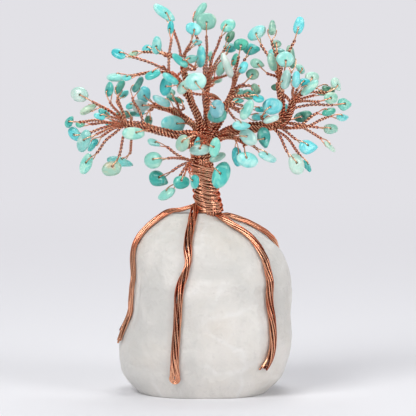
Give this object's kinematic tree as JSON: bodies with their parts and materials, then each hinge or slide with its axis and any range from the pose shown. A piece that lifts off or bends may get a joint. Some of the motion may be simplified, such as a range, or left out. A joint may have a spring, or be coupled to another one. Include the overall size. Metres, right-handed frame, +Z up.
{
  "type": "gemstone tree ornament",
  "caption": "Small copper wire tree with drilled blue green stone chips for leaves, wire roots laid over a lump of milky quartz, and limbs that bend by hand.",
  "frame": {"origin": "middle of the flat face that the quartz lump rests on", "axes": "+Z up along the trunk, +X to the viewer's right, -Y towards the viewer"},
  "size_m": [0.1084, 0.0604, 0.1469],
  "materials": {
    "quartz": "frosted, rough milky quartz",
    "copper": "bright bare copper wire",
    "stone": "tumbled and polished stone"
  },
  "bodies": {
    "root": {"rock_base": "quartz", "trunk_core": "copper", "trunk_wrap": "copper", "crown_mass": "copper", "cut_branch": "copper", "cut_branch_wrap": "copper", "left_root": "copper", "front_root": "copper", "right_front_root": "copper", "right_back_root": "copper", "mid_left_branch": "copper", "mid_left_twigs": "copper", "mid_left_stones": "stone", "centre_branch": "copper", "centre_twigs": "copper", "centre_stones": "stone", "lower_right_branch": "copper", "lower_right_twigs": "copper", "lower_right_stones": "stone", "lower_left_branch": "copper", "lower_left_twigs": "copper", "lower_left_stones": "stone", "front_low_branch": "copper", "front_low_twigs": "copper", "front_low_stones": "stone"},
    "left_limb": {"left_branch": "copper", "left_twigs": "copper", "left_stones": "stone"},
    "upper_left_limb": {"upper_left_branch": "copper", "upper_left_twigs": "copper", "upper_left_stones": "stone", "top_left_branch": "copper", "top_left_twigs": "copper", "top_left_stones": "stone"},
    "top_centre_limb": {"top_centre_branch": "copper", "top_centre_twigs": "copper", "top_centre_stones": "stone"},
    "upper_middle_limb": {"upper_middle_branch": "copper", "upper_middle_twigs": "copper", "upper_middle_stones": "stone"},
    "right_low_limb": {"right_low_branch": "copper", "right_low_twigs": "copper", "right_low_stones": "stone"},
    "right_top_limb": {"right_top_branch": "copper", "right_top_twigs": "copper", "right_top_stones": "stone"},
    "upper_right_limb": {"upper_right_branch": "copper", "upper_right_twigs": "copper", "upper_right_stones": "stone"}
  },
  "joints": [
    {"name": "left_bend", "type": "hinge", "parent": "root", "child": "left_limb", "pos_m": [-0.00901, -0.00193, 0.0978], "axis": [-0.1126, 0.9936, 0], "range_deg": [-8, 2]},
    {"name": "upper_left_bend", "type": "hinge", "parent": "root", "child": "upper_left_limb", "pos_m": [-0.00331, -0.00235, 0.10697], "axis": [-0.2473, -0.8403, -0.4824], "range_deg": [-7, 6]},
    {"name": "top_centre_bend", "type": "hinge", "parent": "root", "child": "top_centre_limb", "pos_m": [0.00067, 0.00644, 0.10824], "axis": [0.3382, 0.845, -0.4142], "range_deg": [-4, 8]},
    {"name": "upper_middle_bend", "type": "hinge", "parent": "root", "child": "upper_middle_limb", "pos_m": [0.00725, 0.00515, 0.10656], "axis": [-0.8144, -0.1313, 0.5653], "range_deg": [-4, 8]},
    {"name": "right_low_bend", "type": "hinge", "parent": "root", "child": "right_low_limb", "pos_m": [0.01695, -0.00246, 0.10056], "axis": [0.1369, 0.9906, 0], "range_deg": [-1, 8]},
    {"name": "right_top_bend", "type": "hinge", "parent": "right_low_limb", "child": "right_top_limb", "pos_m": [0.03176, -0.00405, 0.10512], "axis": [-0.8431, -0.25, 0.4762], "range_deg": [-7, 6]},
    {"name": "upper_right_bend", "type": "hinge", "parent": "right_low_limb", "child": "upper_right_limb", "pos_m": [0.02926, -0.00112, 0.10665], "axis": [-0.9298, 0.3027, -0.2095], "range_deg": [-5, 4]}
  ]
}
